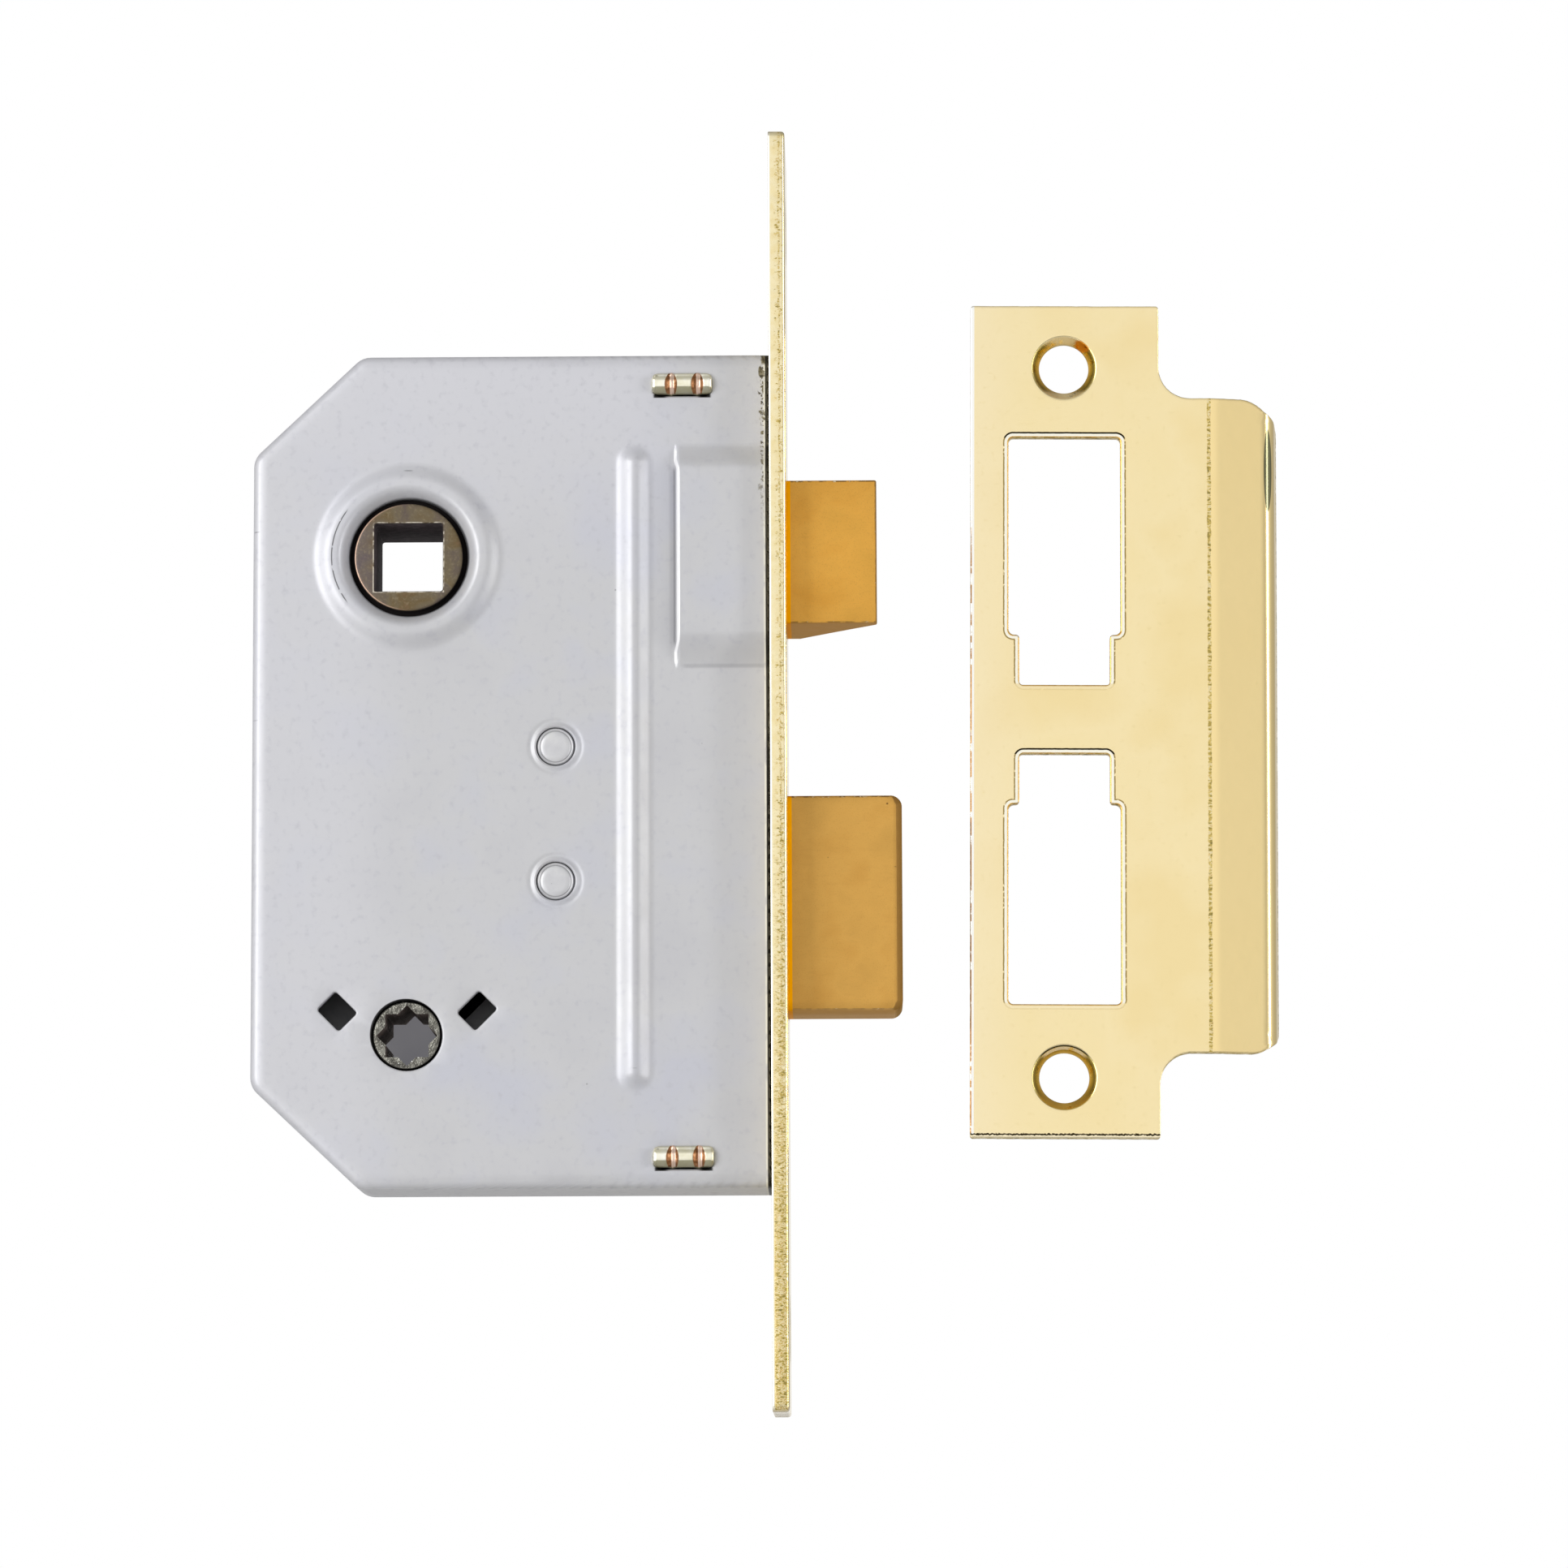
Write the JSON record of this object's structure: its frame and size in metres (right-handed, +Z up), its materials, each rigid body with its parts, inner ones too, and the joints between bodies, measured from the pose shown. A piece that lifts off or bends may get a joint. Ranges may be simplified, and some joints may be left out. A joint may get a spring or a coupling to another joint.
{
  "type": "mortise lock",
  "caption": "Bathroom mortise sash lock: sprung latch and square dead bolt in a pressed steel case behind a brass plated forend, with its loose strike plate.",
  "frame": {"origin": "centre of the forend's outer face, on the metal between the two bolts", "axes": "+X the way the bolts are thrown, out of the forend; +Z up along the forend; Y through the door's thickness, with -Y the side that the picture shows"},
  "size_m": [0.1222, 0.0222, 0.152],
  "materials": {
    "case_paint": "smooth satin light grey paint",
    "brass_plate": "bright pale brass plating",
    "brass_foot": "dull brass plating with coppery stake marks",
    "bolt_finish": "satin tan brass coloured finish on zinc castings",
    "follower_bronze": "dull bronze coloured casting",
    "follower_zinc": "dull grey zinc casting",
    "plain_steel": "plain pressed steel",
    "spring_steel": "dark spring steel"
  },
  "bodies": {
    "case": {"forend_plate": "brass_plate", "forend_foot_upper": "brass_foot", "forend_foot_lower": "brass_foot", "case_body": "case_paint", "case_cover": "case_paint", "bolt_guide_plate": "plain_steel", "guide_post_upper": "plain_steel", "guide_post_lower": "plain_steel", "spring_stud": "plain_steel", "return_spring": "spring_steel", "latch_spring": "spring_steel", "detent_leaf": "spring_steel"},
    "latch_follower": {"latch_follower": "follower_bronze"},
    "latch": {"latch_bolt": "bolt_finish", "latch_stem": "plain_steel", "stem_clip_front": "spring_steel", "stem_clip_rear": "spring_steel", "latch_yoke": "plain_steel"},
    "dead_bolt": {"dead_bolt": "bolt_finish", "dead_bolt_tail": "plain_steel", "tail_pin": "plain_steel"},
    "bathroom_follower": {"bathroom_follower": "follower_zinc"},
    "strike_plate": {"strike_plate": "brass_plate"}
  },
  "joints": [
    {"name": "latch_follower_turn", "type": "hinge", "parent": "case", "child": "latch_follower", "pos_m": [-0.0449, 0, 0.0254], "axis": [0, -1, 0], "range_deg": [0, 40], "stiffness_Nm_per_rad": 0.1, "springref_deg": -17.19, "deforming": ["return_spring"]},
    {"name": "latch_slide", "type": "slide", "parent": "case", "child": "latch", "axis": [-1, 0, 0], "range_m": [0, 0.0102], "stiffness_N_per_m": 150, "springref_m": -0.013, "deforming": ["latch_spring"]},
    {"name": "bathroom_follower_turn", "type": "hinge", "parent": "case", "child": "bathroom_follower", "pos_m": [-0.0449, 0, -0.0316], "axis": [0, -1, 0], "range_deg": [0, 90]},
    {"name": "dead_bolt_slide", "type": "slide", "parent": "case", "child": "dead_bolt", "axis": [-1, 0, 0], "range_m": [0, 0.0135], "deforming": ["detent_leaf"]},
    {"name": "strike_slide", "type": "slide", "parent": "case", "child": "strike_plate", "axis": [1, 0, 0], "range_m": [0, 0.06]}
  ],
  "couplings": [
    {"joint": "latch_follower_turn", "follows": "latch_slide", "rad_per_m": 68.44},
    {"joint": "bathroom_follower_turn", "follows": "dead_bolt_slide", "rad_per_m": 116.35}
  ]
}
